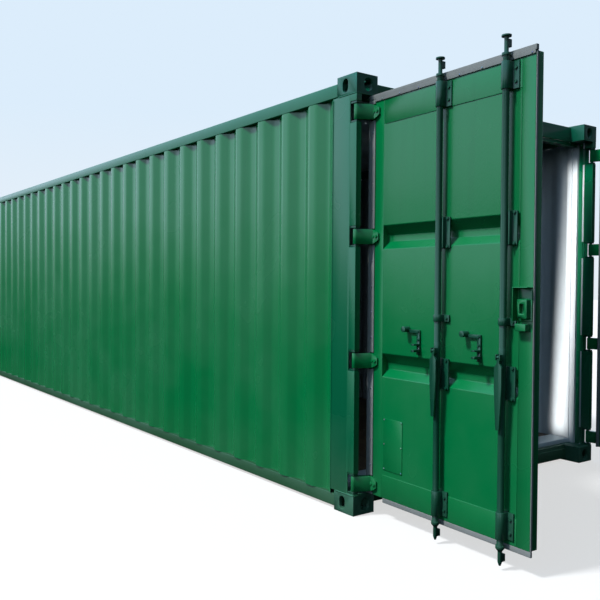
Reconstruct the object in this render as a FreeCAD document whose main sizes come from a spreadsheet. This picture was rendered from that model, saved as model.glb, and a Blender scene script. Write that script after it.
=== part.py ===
import FreeCAD, Part
import math
import os
import re
from types import SimpleNamespace

from FreeCAD import Placement, Rotation, Vector

# A forty-foot dry-goods container with two doors at one end.
# X runs along its length towards the doors, Y across it and Z up. The origin is on the ground at
# the centre of the footprint. The near side is -Y. The near door stands open at a right angle and
# the far door is folded further back. All lengths are millimetres, all angles degrees.
os.makedirs("parts", exist_ok=True)
doc = FreeCAD.newDocument("container")

# ---------------------------------------------------------------- driving dimensions
DIMENSIONS = {
    # outside of the box, which is the outside of its corner castings
    "overall_length": 12192, "overall_width": 2438, "overall_height": 2591,
    # corner castings and their apertures
    "casting_length": 178, "casting_width": 162, "casting_height": 118,
    "casting_wall": 20, "casting_plate": 28,
    "slot_length": 124, "slot_width": 63.5, "slot_span": 11985, "slot_gauge": 2259,
    "side_hole_width": 51, "end_hole_width": 63.5, "hole_height": 79.5,
    # long rails at the top and bottom of the sides
    "frame_bottom": 17, "bottom_rail_top": 92, "bottom_rail_setback": 8, "bottom_rail_width": 60,
    "top_rail_bottom": 2476, "top_rail_top": 2556, "top_rail_width": 60, "rail_wall": 5,
    # posts: the door post is a pressed section, the front post a box
    "post_length": 215, "post_sheet": 8, "post_end_depth": 86, "front_post_length": 178, "front_post_width": 100, "front_rail_width": 158,
    "front_low_rail_width": 120,
    # pressed sheet of the sides, front and roof
    "sheet": 4, "wall_depth": 36, "wall_bays": 41, "wall_crest": 74, "wall_slope": 71, "wall_end_cut": 45,
    "front_setback": 14, "front_depth": 46, "front_bays": 9, "front_crest": 110, "front_slope": 18,
    "roof_depth": 20, "roof_bays": 45, "roof_crest": 100, "roof_slope": 14, "roof_bottom": 2556,
    # floor and the members under it
    "floor_bottom": 122, "floor_top": 150, "floor_half_width": 1172,
    "member_bottom": 34, "member_width": 45, "member_wall": 6, "member_count": 27,
    # door head and sill, as depths in from the door-end plane
    "head_front": 117, "head_rebate": 131, "head_back": 190, "opening_half_width": 1170,
    "header_bottom": 2446, "header_step": 2472, "header_top": 2585, "sill_top": 118,
    "threshold_front": 172, "threshold_back": 340, "threshold_top": 152,
    # hinges
    "hinge_inset": 20, "lowest_hinge": 188, "hinge_pitch": 726, "eye_radius": 17,
    "pin_radius": 11, "pin_play": 0.1, "blade_height": 88, "blade_tip_height": 60,
    "blade_thickness": 12, "blade_reach": 101, "lug_gap": 50, "lug_thickness": 12,
    "notch_length": 56, "notch_depth": 45, "arm_room_depth": 92, "arm_room_inset": 13,
    "lug_inset": 3,
    # a door leaf, measured from its hinge axis
    "face_offset": 94, "leaf_thickness": 54, "leaf_start": 25, "leaf_end": 1189,
    "leaf_bottom": 124, "leaf_top": 2440, "hinge_stile": 110, "free_stile": 78,
    "bottom_rail_height": 133, "top_rail_height": 155, "frame_sheet": 5,
    "panel_setback": 3, "trough_depth": 42, "trough_low_run": 42, "trough_high_run": 54,
    "lower_trough": 828, "upper_trough": 1566, "trough_height": 136,
    "seal_lip": 21, "seal_top_lip": 27, "seal_thickness": 12, "seal_face": 6,
    "hinge_seal_cover": 36, "top_seal_cover": 16, "free_seal_lip": 6,
    "near_open": 92, "far_open": 160,
    # locking bars, cams and keepers
    "bar_radius": 17, "bar_standoff": 32, "inner_bar_at": 610, "outer_bar_at": 1042,
    "bar_bottom": 22, "bar_top": 2540, "neck_radius": 11, "neck_length": 84, "collar_radius": 22,
    "cap_radius": 24, "cap_height": 8, "collar_height": 14, "shoulder_length": 14,
    "tip_radius": 5, "tip_length": 18,
    "cam_thickness": 18, "cam_reach": 28, "cam_height": 36, "keeper_gap": 20, "keeper_clear": 6,
    "keeper_sheet": 10, "keeper_height": 48, "cam_from_end": 18, "keeper_from_end": 14, "sleeve_radius": 23, "sleeve_height": 130,
    "top_sleeve": 2286, "bottom_sleeve": 150, "guide_height": 36,
    "bracket_sheet": 8, "bracket_flange": 34, "bracket_lap": 12,
    # handles
    "pivot_height": 1020, "pivot_reach": 28, "handle_length": 345, "handle_thickness": 10,
    "handle_head": 44, "handle_tip": 20, "handle_pin_radius": 5, "handle_eye_radius": 8, "handle_eye_width": 14,
    "hub_radius": 18, "hub_height": 84, "hub_cheek": 6, "hub_gap": 17,
    "catch_distance": 182, "catch_reach": 50,
    # lock box and data plate
    "lock_at": 1102, "lock_bottom": 1195, "lock_width": 86, "lock_height": 160, "lock_depth": 44,
    "housing_depth": 34,
    "lock_sheet": 6, "plate_at": 150, "plate_bottom": 290, "plate_width": 160,
    "plate_height": 300, "plate_sheet": 3,
}

sheet = doc.addObject("Spreadsheet::Sheet", "Sizes")
for row, (alias, number) in enumerate(DIMENSIONS.items(), start=1):
    sheet.set(f"A{row}", alias)
    sheet.set(f"B{row}", str(number))
    sheet.setAlias(f"B{row}", alias)
doc.recompute()
dim = SimpleNamespace(**{alias: float(sheet.get(alias)) for alias in DIMENSIONS})

half_length = dim.overall_length / 2
half_width = dim.overall_width / 2
FLAT = Placement()


# ---------------------------------------------------------------- small tools
def bind(thing, **formulas):
    """Ties properties to formulas in the sheet's aliases; Base_x stands for Placement.Base.x."""
    for name, formula in formulas.items():
        path = name.replace("Base_", "Placement.Base.").replace("Turn", "Placement.Rotation.Angle")
        tied = re.sub(r"[a-z]+(_[a-z]+)+|\bsheet\b", lambda found: "Sizes." + found.group(), formula)
        thing.setExpression(path, tied)
    return thing


def box(name, x, y, z, long, wide, high):
    """A block with its lowest corner at x, y, z, all six given as formulas."""
    block = doc.addObject("Part::Box", name)
    return bind(block, Base_x=x, Base_y=y, Base_z=z, Length=long, Width=wide, Height=high)


def rod(name, x, y, z, radius, high, axis=Vector(0, 0, 1)):
    """A round bar from x, y, z along an axis."""
    bar = doc.addObject("Part::Cylinder", name)
    bar.Placement.Rotation = Rotation(Vector(0, 0, 1), axis)
    return bind(bar, Base_x=x, Base_y=y, Base_z=z, Radius=radius, Height=high)


def cone(name, x, y, z, low_radius, high_radius, high):
    """An upright round bar that changes radius evenly over its height."""
    bar = doc.addObject("Part::Cone", name)
    return bind(bar, Base_x=x, Base_y=y, Base_z=z, Radius1=low_radius, Radius2=high_radius,
                Height=high)


def cut(name, base, tool):
    result = doc.addObject("Part::Cut", name)
    result.Base, result.Tool = base, tool
    return result


def fuse(name, pieces):
    result = doc.addObject("Part::MultiFuse", name)
    result.Shapes = pieces
    return result


def mirror(name, source, normal, height="0"):
    """The source turned over in a plane through the origin, or at a height when that is given."""
    result = doc.addObject("Part::Mirroring", name)
    result.Source, result.Normal = source, normal
    if height != "0":
        result.setExpression("Base.z", height)
    return result


def group(name, pieces):
    result = doc.addObject("Part::Compound", name)
    result.Links = pieces
    return result


def hollow(name, x, y, z, long, wide, high, wall="frame_sheet"):
    """A closed box tube: a block less a smaller block inside it."""
    outer = box(name + "_outer", x, y, z, long, wide, high)
    inner = box(name + "_inner", f"{x} + {wall}", f"{y} + {wall}", f"{z} + {wall}",
                f"{long} - 2 * {wall}", f"{wide} - 2 * {wall}", f"{high} - 2 * {wall}")
    return cut(name, outer, inner)


def draw(body, name, plane, loops):
    """A sketch of closed loops of straight lines and circles on one of the body's own planes."""
    sketch = body.newObject("Sketcher::SketchObject", name)
    planes = {feature.Role: feature for feature in body.Origin.OriginFeatures}
    sketch.AttachmentSupport = [(planes[plane], "")]
    sketch.MapMode = "FlatFace"
    for loop in loops:
        if len(loop) == 2:
            centre, radius = loop
            sketch.addGeometry(Part.Circle(Vector(*centre, 0), Vector(0, 0, 1), radius))
            continue
        for start, end in zip(loop, loop[1:] + loop[:1]):
            sketch.addGeometry(Part.LineSegment(Vector(*start, 0), Vector(*end, 0)))
    return sketch


def pad(body, sketch, length, centred=False, back=False):
    feature = body.newObject("PartDesign::Pad", sketch.Name + "_pad")
    feature.Profile = sketch
    feature.Midplane = centred
    feature.Reversed = back
    bind(feature, Length=length)
    body.Tip = feature
    doc.recompute()
    return feature


def pocket(body, sketch):
    """Cuts the sketch right through the body, both ways from its plane."""
    before = body.Shape.Volume
    feature = body.newObject("PartDesign::Pocket", sketch.Name + "_pocket")
    feature.Profile = sketch
    feature.Midplane = True
    feature.Type = "ThroughAll"
    body.Tip = feature
    doc.recompute()
    if body.Shape.Volume > before - 1:
        raise RuntimeError(sketch.Name + " cuts nothing")
    return feature


def new_body(name):
    return doc.addObject("PartDesign::Body", name)


def corrugated(crest, slope, depth, bays, total, thick, end_cut=0):
    """Outline of a folded sheet along its first axis, centred, with its crests at height zero.

    Each bay goes down a slope, along a trough and up again, and crests lie between the bays, so
    the sheet starts and ends at crest height. The first and last troughs are shorter by the end
    cut. The second side of the sheet is the same line moved in by the thickness.
    """
    pitch = (total + crest + 2 * end_cut) / bays
    trough = pitch - crest - 2 * slope
    line = []
    for bay in range(int(bays)):
        start = -total / 2 - end_cut + bay * pitch
        line += [(start, 0), (start + slope, -depth), (start + slope + trough, -depth),
                 (start + 2 * slope + trough, 0)]
    line[0], line[1] = (line[0][0] + end_cut, 0), (line[1][0] + end_cut, -depth)
    line[-1], line[-2] = (line[-1][0] - end_cut, 0), (line[-2][0] - end_cut, -depth)
    return line + [(along, height - thick) for along, height in reversed(line)]


def folded_sheet(name, outline, to_space, run):
    """A sheet whose outline is carried to space by a function and then drawn out along a run."""
    corners = [to_space(along, height) for along, height in outline]
    face = Part.Face(Part.makePolygon(corners + corners[:1]))
    piece = doc.addObject("Part::Feature", name)
    piece.Shape = face.extrude(run)
    piece.Placement = FLAT
    return piece


nodes = []


def keep(label, piece):
    """Names a finished sub-part; the label is its file's name."""
    piece.Label = label
    nodes.append(piece)
    return piece


# ---------------------------------------------------------------- corner castings
# A hollow steel block with a long slot in its ground or top face and an oval hole in each outer
# face. One is made at the near bottom corner of the door end and turned over to the other seven.
casting_block = box("casting_block", "overall_length / 2 - casting_length", "-overall_width / 2", "0",
                    "casting_length", "casting_width", "casting_height")
casting_void = box("casting_void", "overall_length / 2 - casting_length + casting_wall",
                   "-overall_width / 2 + casting_wall", "casting_plate",
                   "casting_length - 2 * casting_wall", "casting_width - 2 * casting_wall",
                   "casting_height - casting_plate - casting_wall")
slot_tools = [box("slot_middle", "slot_span / 2 - slot_length / 2 + slot_width / 2",
                  "-slot_gauge / 2 - slot_width / 2", "-casting_plate",
                  "slot_length - slot_width", "slot_width", "3 * casting_plate")]
for side, sign in (("front", "-"), ("back", "+")):
    slot_tools.append(rod("slot_end_" + side, f"slot_span / 2 {sign} (slot_length - slot_width) / 2",
                          "-slot_gauge / 2", "-casting_plate", "slot_width / 2", "3 * casting_plate"))
for level, sign in (("low", "-"), ("high", "+")):
    slot_tools.append(rod("side_hole_" + level, "slot_span / 2", "-overall_width / 2 - casting_wall",
                          f"casting_height / 2 {sign} (hole_height - side_hole_width) / 2",
                          "side_hole_width / 2", "3 * casting_wall", Vector(0, 1, 0)))
    slot_tools.append(rod("end_hole_" + level, "overall_length / 2 - 2 * casting_wall",
                          "-slot_gauge / 2",
                          f"casting_height / 2 {sign} (hole_height - end_hole_width) / 2",
                          "end_hole_width / 2", "3 * casting_wall", Vector(1, 0, 0)))
slot_tools.append(box("side_hole_middle", "slot_span / 2 - side_hole_width / 2",
                      "-overall_width / 2 - casting_wall",
                      "casting_height / 2 - (hole_height - side_hole_width) / 2",
                      "side_hole_width", "3 * casting_wall", "hole_height - side_hole_width"))
slot_tools.append(box("end_hole_middle", "overall_length / 2 - 2 * casting_wall",
                      "-slot_gauge / 2 - end_hole_width / 2",
                      "casting_height / 2 - (hole_height - end_hole_width) / 2",
                      "3 * casting_wall", "end_hole_width", "hole_height - end_hole_width"))
casting = cut("casting", casting_block, fuse("casting_cutters", [casting_void] + slot_tools))
door_castings = group("door_castings", [casting, mirror("casting_far", casting, Vector(0, 1, 0))])
all_castings = group("bottom_castings",
                     [door_castings, mirror("front_castings", door_castings, Vector(1, 0, 0))])
keep("bottom_corner_castings", all_castings)
keep("top_corner_castings", mirror("top_castings", all_castings, Vector(0, 0, 1),
                                   "Sizes.overall_height / 2"))

# ---------------------------------------------------------------- door posts and hinge lugs
# A door post is folded from plate. In plan it steps back for the seal of the closed door, and at
# each hinge its corner is cut away so that the hinge can swing right round.
hinge_heights = [dim.lowest_hinge + step * dim.hinge_pitch for step in range(4)]
hinge_x = half_length - dim.hinge_inset
hinge_y = half_width - dim.hinge_inset
leaf_edge_inset = dim.hinge_inset + dim.leaf_start
seal_back = dim.hinge_inset + dim.face_offset + dim.seal_thickness
leaf_back = dim.hinge_inset + dim.face_offset + dim.leaf_thickness
post_inner = leaf_edge_inset - 5
seal_step = dim.hinge_inset + dim.leaf_start - dim.seal_lip - 5
opening_inset = half_width - dim.opening_half_width


def from_corner(depth, inset):
    """A plan point given by its depth from the door end and its inset from the near side."""
    return half_length - depth, inset - half_width


end_depth = dim.post_end_depth
post_outline = [(0, 0), (0, post_inner), (end_depth, post_inner), (end_depth, seal_step),
                (seal_back + 6, seal_step), (seal_back + 6, post_inner),
                (leaf_back + 6, post_inner), (leaf_back + 6, opening_inset),
                (dim.post_length, opening_inset), (dim.post_length, 0)]
skin = dim.post_sheet
post_hollow = [(skin, skin), (skin, post_inner - skin),
               (end_depth - skin, post_inner - skin), (end_depth - skin, seal_step - skin), (seal_back + 6 + skin, seal_step - skin),
               (seal_back + 6 + skin, post_inner - skin), (leaf_back + 6 + skin, post_inner - skin),
               (leaf_back + 6 + skin, opening_inset - skin),
               (dim.post_length - skin, opening_inset - skin), (dim.post_length - skin, skin)]
post_body = new_body("near_post_body")
post_sketch = draw(post_body, "post_section", "XY_Plane",
                   [[from_corner(*point) for point in post_outline],
                    [from_corner(*point) for point in post_hollow]])
pad(post_body, post_sketch, "overall_height - 2 * casting_height")
bind(post_body, Base_z="casting_height")
notches = []
lugs = []
lug_reach = dim.lug_gap + dim.lug_thickness
for number, height in enumerate(hinge_heights):
    level = f"lowest_hinge + {number} * hinge_pitch"
    bottom = f"{level} - lug_gap - lug_thickness"
    notches.append(box(f"notch_corner_{number}", "overall_length / 2 - notch_length",
                       "-overall_width / 2 - 1", bottom, "notch_length + 1", "notch_depth + 1",
                       "2 * (lug_gap + lug_thickness)"))
    notches.append(box(f"notch_inner_{number}", "overall_length / 2 - arm_room_depth",
                       "-overall_width / 2 + arm_room_inset", bottom, "arm_room_depth",
                       "notch_depth - arm_room_inset",
                       "2 * (lug_gap + lug_thickness)"))
    plates = [box(f"lug_{side}_{number}", "overall_length / 2 - notch_length",
                  "-overall_width / 2 + lug_inset", f"{level} + {base}",
                  "notch_length - lug_inset", "2 * eye_radius", "lug_thickness")
              for side, base in (("low", "(-lug_gap - lug_thickness)"), ("high", "lug_gap"))]
    pin = rod(f"pin_{number}", "overall_length / 2 - hinge_inset", "-overall_width / 2 + hinge_inset",
              bottom, "pin_radius", "2 * (lug_gap + lug_thickness)")
    lugs.append(fuse(f"hinge_lug_{number}", plates + [pin]))
near_post = cut("near_post", post_body, fuse("post_notches", notches))
keep("door_posts", group("door_post_pair", [near_post, mirror("far_post", near_post,
                                                              Vector(0, 1, 0))]))
near_lugs = group("near_lugs", lugs)
keep("hinge_lugs", group("all_lugs", [near_lugs, mirror("far_lugs", near_lugs, Vector(0, 1, 0))]))

# ---------------------------------------------------------------- front posts and rails
front_post = hollow("front_post_near", "-overall_length / 2", "-overall_width / 2", "casting_height",
                    "front_post_length", "front_post_width", "overall_height - 2 * casting_height",
                    "post_sheet")
keep("front_posts", group("front_post_pair", [front_post, mirror("front_post_far", front_post,
                                                                 Vector(0, 1, 0))]))
top_rail = hollow("near_top_rail", "-overall_length / 2 + casting_length", "-overall_width / 2",
                  "top_rail_bottom", "overall_length - 2 * casting_length", "top_rail_width",
                  "top_rail_top - top_rail_bottom", "rail_wall")
keep("top_side_rails", group("top_rail_pair", [top_rail, mirror("far_top_rail", top_rail,
                                                                Vector(0, 1, 0))]))
low_rail = hollow("near_low_rail", "-overall_length / 2 + casting_length",
                  "-overall_width / 2 + bottom_rail_setback", "frame_bottom",
                  "overall_length - 2 * casting_length", "bottom_rail_width",
                  "bottom_rail_top - frame_bottom", "rail_wall")
keep("bottom_side_rails", group("low_rail_pair", [low_rail, mirror("far_low_rail", low_rail,
                                                                   Vector(0, 1, 0))]))
front_rails = [
    hollow("front_low_rail", "-overall_length / 2 + 20", "-overall_width / 2 + casting_width",
           "frame_bottom", "front_low_rail_width", "overall_width - 2 * casting_width",
           "sill_top - frame_bottom",
           "rail_wall"),
    hollow("front_high_rail", "-overall_length / 2 + 20", "-overall_width / 2 + casting_width",
           "overall_height - casting_height", "front_rail_width", "overall_width - 2 * casting_width",
           "header_top - overall_height + casting_height", "rail_wall")]
keep("front_cross_rails", group("front_rail_pair", front_rails))

# ---------------------------------------------------------------- pressed sheet walls and roof
wall_length = dim.overall_length - dim.post_length - dim.front_post_length
wall_middle = (dim.front_post_length - dim.post_length) / 2
wall_line = corrugated(dim.wall_crest, dim.wall_slope, dim.wall_depth, dim.wall_bays, wall_length,
                       dim.sheet, dim.wall_end_cut)
near_wall = folded_sheet("near_wall_sheet", wall_line,
                         lambda along, height: Vector(wall_middle + along, -half_width - height,
                                                      dim.bottom_rail_top),
                         Vector(0, 0, dim.top_rail_bottom - dim.bottom_rail_top))
keep("near_side_wall", near_wall)
keep("far_side_wall", mirror("far_wall_sheet", near_wall, Vector(0, 1, 0)))
front_line = corrugated(dim.front_crest, dim.front_slope, dim.front_depth, dim.front_bays,
                        dim.overall_width - 2 * dim.front_post_width, dim.sheet)
keep("front_wall", folded_sheet("front_wall_sheet", front_line,
                                lambda along, height: Vector(-half_length + dim.front_setback - height,
                                                             along, dim.sill_top),
                                Vector(0, 0, dim.overall_height - 2 * dim.casting_height)))
roof_length = dim.overall_length - dim.head_back - dim.casting_length
roof_middle = (dim.casting_length - dim.head_back) / 2
roof_line = corrugated(dim.roof_crest, dim.roof_slope, dim.roof_depth, dim.roof_bays, roof_length,
                       dim.sheet)
roof_side = half_width - 12
keep("roof_sheet", folded_sheet("roof", roof_line,
                                lambda along, height: Vector(roof_middle + along, -roof_side,
                                                             dim.roof_bottom + dim.roof_depth
                                                             + dim.sheet + height),
                                Vector(0, 2 * roof_side, 0)))

# ---------------------------------------------------------------- floor
keep("floor_boards", box("floor_boards", "-overall_length / 2 + front_post_length",
                         "-floor_half_width", "floor_bottom",
                         "overall_length - front_post_length - threshold_back",
                         "2 * floor_half_width", "floor_top - floor_bottom"))
members = []
member_side = half_width - dim.bottom_rail_setback - dim.bottom_rail_width
member_first = -half_length + 330
member_pitch = (dim.overall_length - 900) / (dim.member_count - 1)
for number in range(int(dim.member_count)):
    start = member_first + number * member_pitch
    outline = [(0, 0), (dim.member_width, 0), (dim.member_width, dim.member_wall),
               (dim.member_wall, dim.member_wall),
               (dim.member_wall, dim.floor_bottom - dim.member_bottom - dim.member_wall),
               (dim.member_width, dim.floor_bottom - dim.member_bottom - dim.member_wall),
               (dim.member_width, dim.floor_bottom - dim.member_bottom),
               (0, dim.floor_bottom - dim.member_bottom)]
    members.append(folded_sheet(f"member_{number}", outline,
                                lambda along, height, start=start: Vector(start + along, -member_side,
                                                                          dim.member_bottom + height),
                                Vector(0, 2 * member_side, 0)))
keep("cross_members", group("member_row", members))

# ---------------------------------------------------------------- door head, sill and threshold
header = fuse("header_parts", [
    box("header_face", "overall_length / 2 - head_back", "-overall_width / 2 + casting_width",
        "header_step", "head_back - head_front", "overall_width - 2 * casting_width",
        "header_top - header_step"),
    box("header_return", "overall_length / 2 - head_back", "-opening_half_width", "header_bottom",
        "head_back - head_rebate", "2 * opening_half_width", "header_step - header_bottom")])
keep("door_header", header)
sill = fuse("sill_parts", [
    box("sill_face", "overall_length / 2 - head_back", "-overall_width / 2 + casting_width",
        "frame_bottom", "head_back - head_front", "overall_width - 2 * casting_width",
        "bottom_rail_top - frame_bottom"),
    box("sill_return", "overall_length / 2 - head_back", "-overall_width / 2 + casting_width",
        "bottom_rail_top", "head_back - head_rebate", "overall_width - 2 * casting_width",
        "sill_top - bottom_rail_top")])
keep("door_sill", sill)
keep("threshold_plate", box("threshold", "overall_length / 2 - threshold_back",
                            "-opening_half_width", "sill_top", "threshold_back - threshold_front",
                            "2 * opening_half_width", "threshold_top - sill_top"))


# ---------------------------------------------------------------- cam keepers
# A hooked bracket for each end of each bar. Its lip stands in front of the cam of a locked bar.
def keeper(name, side, bar_at, base):
    """One keeper on the header or sill; side is -1 for the near door and 1 for the far one."""
    bar_y = f"({side} * (overall_width / 2 - hinge_inset - {bar_at}))"
    bar_x = "overall_length / 2 - hinge_inset - face_offset + bar_standoff"
    lip_out = f"({bar_x} + cam_thickness / 2 + keeper_clear)"
    arm_in = "(cam_reach + keeper_clear)"
    reach = f"{lip_out} + keeper_sheet - (overall_length / 2 - head_front)"
    arm_y = f"{bar_y} + {arm_in}" if side < 0 else f"{bar_y} - {arm_in} - keeper_sheet"
    lip_y = f"{bar_y} + keeper_gap" if side < 0 else f"{bar_y} - {arm_in} - keeper_sheet"
    arm = box(name + "_arm", "overall_length / 2 - head_front", arm_y, base, reach,
              "keeper_sheet", "keeper_height")
    lip = box(name + "_lip", lip_out, lip_y, base, "keeper_sheet",
              f"{arm_in} + keeper_sheet - keeper_gap", "keeper_height")
    return fuse(name, [arm, lip])


keepers = []
for side in (-1, 1):
    for place in ("inner", "outer"):
        for level, base in (("low", "bar_bottom + keeper_from_end"),
                            ("high", "bar_top - keeper_from_end - keeper_height")):
            keepers.append(keeper(f"keeper_{place}_{level}_{'near' if side < 0 else 'far'}", side,
                                  f"{place}_bar_at", base))
keep("cam_keepers", group("keeper_row", keepers))

# ---------------------------------------------------------------- lashing rings on the floor edge
rings = []
for number in range(8):
    for side in (-1, 1):
        ring = doc.addObject("Part::Torus", f"ring_{number}_{'near' if side < 0 else 'far'}")
        ring.Radius1, ring.Radius2 = 30, 6
        ring.Placement = Placement(Vector(half_length - 700 - 1500 * number, side * 1130,
                                          dim.floor_top + 6), Rotation())
        rings.append(ring)
keep("lashing_rings", group("ring_row", rings))


# ---------------------------------------------------------------- door leaves
# Every door piece is drawn once in the near door's own frame: x runs from the hinge axis across
# the leaf, y inwards through it and z up. The far door's pieces are the same turned over.
def hang(near_label, far_label, piece):
    """Hangs a door piece on the near door, and its mirror image on the far one."""
    near = group(near_label + "_hung", [piece])
    bind(near, Base_x="overall_length / 2 - hinge_inset", Base_y="-overall_width / 2 + hinge_inset",
         Turn="90 - near_open")
    far = group(far_label + "_hung", [mirror(far_label + "_turned", piece, Vector(0, 1, 0))])
    bind(far, Base_x="overall_length / 2 - hinge_inset", Base_y="overall_width / 2 - hinge_inset",
         Turn="far_open - 90")
    keep(near_label, near)
    keep(far_label, far)


def hang_pair(name, piece):
    hang("near_" + name, "far_" + name, piece)


leaf_height = "leaf_top - leaf_bottom"
stiles = group("stile_pair", [
    hollow("hinge_side_stile", "leaf_start", "face_offset", "leaf_bottom", "hinge_stile",
           "leaf_thickness", leaf_height),
    hollow("free_side_stile", "leaf_end - free_stile", "face_offset", "leaf_bottom", "free_stile",
           "leaf_thickness", leaf_height)])
hang_pair("door_stiles", stiles)

rail_start = "leaf_start + hinge_stile"
rail_length = "leaf_end - free_stile - leaf_start - hinge_stile"
hang_pair("door_rails", group("rail_pair", [
    hollow("low_rail", rail_start, "face_offset", "leaf_bottom", rail_length, "leaf_thickness",
           "bottom_rail_height"),
    hollow("high_rail", rail_start, "face_offset", "leaf_top - top_rail_height", rail_length,
           "leaf_thickness", "top_rail_height")]))


def panel_line(depth):
    """The panel's line up the door at a depth behind its face, through both pressed troughs."""
    face = dim.face_offset + dim.panel_setback
    line = [(face + depth, dim.leaf_bottom + dim.bottom_rail_height)]
    for low in (dim.lower_trough, dim.upper_trough):
        high = low + dim.trough_height
        line += [(face + depth, low), (face + depth + dim.trough_depth, low + dim.trough_low_run),
                 (face + depth + dim.trough_depth, high - dim.trough_high_run), (face + depth, high)]
    return line + [(face + depth, dim.leaf_top - dim.top_rail_height)]


panel_body = new_body("panel_body")
panel_sketch = draw(panel_body, "panel_section", "YZ_Plane",
                    [panel_line(0) + panel_line(dim.sheet)[::-1]])
pad(panel_body, panel_sketch, rail_length)
bind(panel_body, Base_x=rail_start)
hang_pair("door_panel", panel_body)

# Rubber seal: a flat strip on each edge of the leaf, with a lip that stands past the steel.
seal_y = "face_offset - seal_face"
seal_deep = "seal_face + seal_thickness"


def seal_strip(name, strip, lip):
    """A strip flat on the leaf's face, joined to a lip beside the leaf's edge."""
    cover = box(name + "_cover", strip[0], seal_y, strip[1], strip[2], "seal_face", strip[3])
    edge = box(name + "_lip", lip[0], seal_y, lip[1], lip[2], seal_deep, lip[3])
    return fuse(name, [cover, edge])


short_height = "leaf_top - leaf_bottom - 2"
hinge_strip = seal_strip("seal_hinge",
                         ("leaf_start", "leaf_bottom + 1", "hinge_seal_cover", short_height),
                         ("leaf_start - seal_lip", "leaf_bottom + 1", "seal_lip", short_height))
blade_gaps = fuse("seal_gaps", [
    box(f"seal_gap_{number}", "leaf_start", "0",
        f"lowest_hinge + {number} * hinge_pitch - blade_height / 2 - 3", "hinge_seal_cover + 1",
        "face_offset", "blade_height + 6") for number in range(4)])
seals = [
    cut("seal_hinge_side", hinge_strip, blade_gaps),
    box("seal_free", "leaf_end", "face_offset", "leaf_bottom + 1", "free_seal_lip", "seal_thickness",
        short_height),
    seal_strip("seal_top", ("leaf_start + hinge_seal_cover + 1", "leaf_top - top_seal_cover",
                            "leaf_end - leaf_start - hinge_seal_cover - 1", "top_seal_cover"),
               ("leaf_start - seal_lip", "leaf_top", "leaf_end - leaf_start + seal_lip + free_seal_lip",
                "seal_top_lip")),
    box("seal_bottom", "casting_width - hinge_inset + 5", "face_offset", "leaf_bottom - seal_top_lip",
        "leaf_end - casting_width + hinge_inset - 5 + free_seal_lip", "seal_thickness",
        "seal_top_lip"),
]
hang_pair("door_seal", group("seal_strips", seals))

# Hinge blades: forged arms that reach round from the pin to the face of the leaf.
blades = []
blade_face = dim.face_offset
for number, height in enumerate(hinge_heights):
    arm_body = new_body(f"blade_arm_{number}")
    arm = draw(arm_body, f"blade_plan_{number}", "XY_Plane",
               [[(-15, 8), (26, blade_face - 10), (26, blade_face), (dim.blade_reach, blade_face),
                 (dim.blade_reach, blade_face - dim.blade_thickness), (60, blade_face - 16), (13, -11)]])
    pad(arm_body, arm, "blade_height", centred=True)
    slope = (dim.blade_height - dim.blade_tip_height) / 2
    tall = dim.blade_height / 2
    taper = draw(arm_body, f"blade_taper_{number}", "XZ_Plane",
                 [[(50, sign * (tall + 5)), (50, sign * tall), (dim.blade_reach - 14, sign * (tall - slope)),
                   (dim.blade_reach, sign * (tall - slope - 12)), (dim.blade_reach + 5, sign * (tall + 5))]
                  for sign in (1, -1)])
    pocket(arm_body, taper)
    bind(arm_body, Base_z=f"lowest_hinge + {number} * hinge_pitch")
    eye = rod(f"blade_eye_{number}", "0", "0",
              f"lowest_hinge + {number} * hinge_pitch - blade_height / 2", "eye_radius",
              "blade_height")
    bore = rod(f"blade_bore_{number}", "0", "0",
               f"lowest_hinge + {number} * hinge_pitch - blade_height", "pin_radius + pin_play",
               "2 * blade_height")
    blades.append(cut(f"blade_{number}", fuse(f"blade_whole_{number}", [arm_body, eye]), bore))
hang_pair("hinge_blades", group("blade_row", blades))

# Bearing sleeves hold each bar against the leaf at its ends and above its handle. Where the bar
# passes a trough a plate bridges the trough behind it, and above the handle's reach an angle
# stands beside it too.
bar_y = "face_offset - bar_standoff"
sleeves = []
for place in ("inner", "outer"):
    bar_at = f"{place}_bar_at"
    for level, base, tall in (("top", "top_sleeve", "sleeve_height"),
                              ("bottom", "bottom_sleeve", "sleeve_height"),
                              ("middle", "pivot_height + 150", "guide_height")):
        name = f"sleeve_{place}_{level}"
        saddle = box(name + "_saddle", f"{bar_at} - sleeve_radius", bar_y, base,
                     "2 * sleeve_radius", "bar_standoff", tall)
        round_front = rod(name + "_round", bar_at, bar_y, base, "sleeve_radius", tall)
        flange = box(name + "_flange", f"{bar_at} - sleeve_radius", "face_offset - bracket_sheet",
                     base, "2 * sleeve_radius + bracket_flange", "bracket_sheet", tall)
        bore = rod(name + "_bore", bar_at, bar_y, f"{base} - 5", "bar_radius + 1", f"{tall} + 10")
        sleeves.append(cut(name, fuse(name + "_whole", [saddle, round_front, flange]), bore))
    for level in ("lower", "upper"):
        name = f"bracket_{place}_{level}"
        base = f"{level}_trough - bracket_lap"
        tall = "trough_height + 2 * bracket_lap"
        back = box(name + "_back", f"{bar_at} - sleeve_radius", "face_offset - bracket_sheet", base,
                   "2 * sleeve_radius + bracket_flange", "bracket_sheet", tall)
        if level == "lower":
            sleeves.append(back)
            continue
        side = box(name + "_side", f"{bar_at} + sleeve_radius", bar_y, base, "bracket_sheet",
                   "bar_standoff", tall)
        sleeves.append(fuse(name, [back, side]))
hang_pair("bar_sleeves", group("sleeve_row", sleeves))

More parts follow.
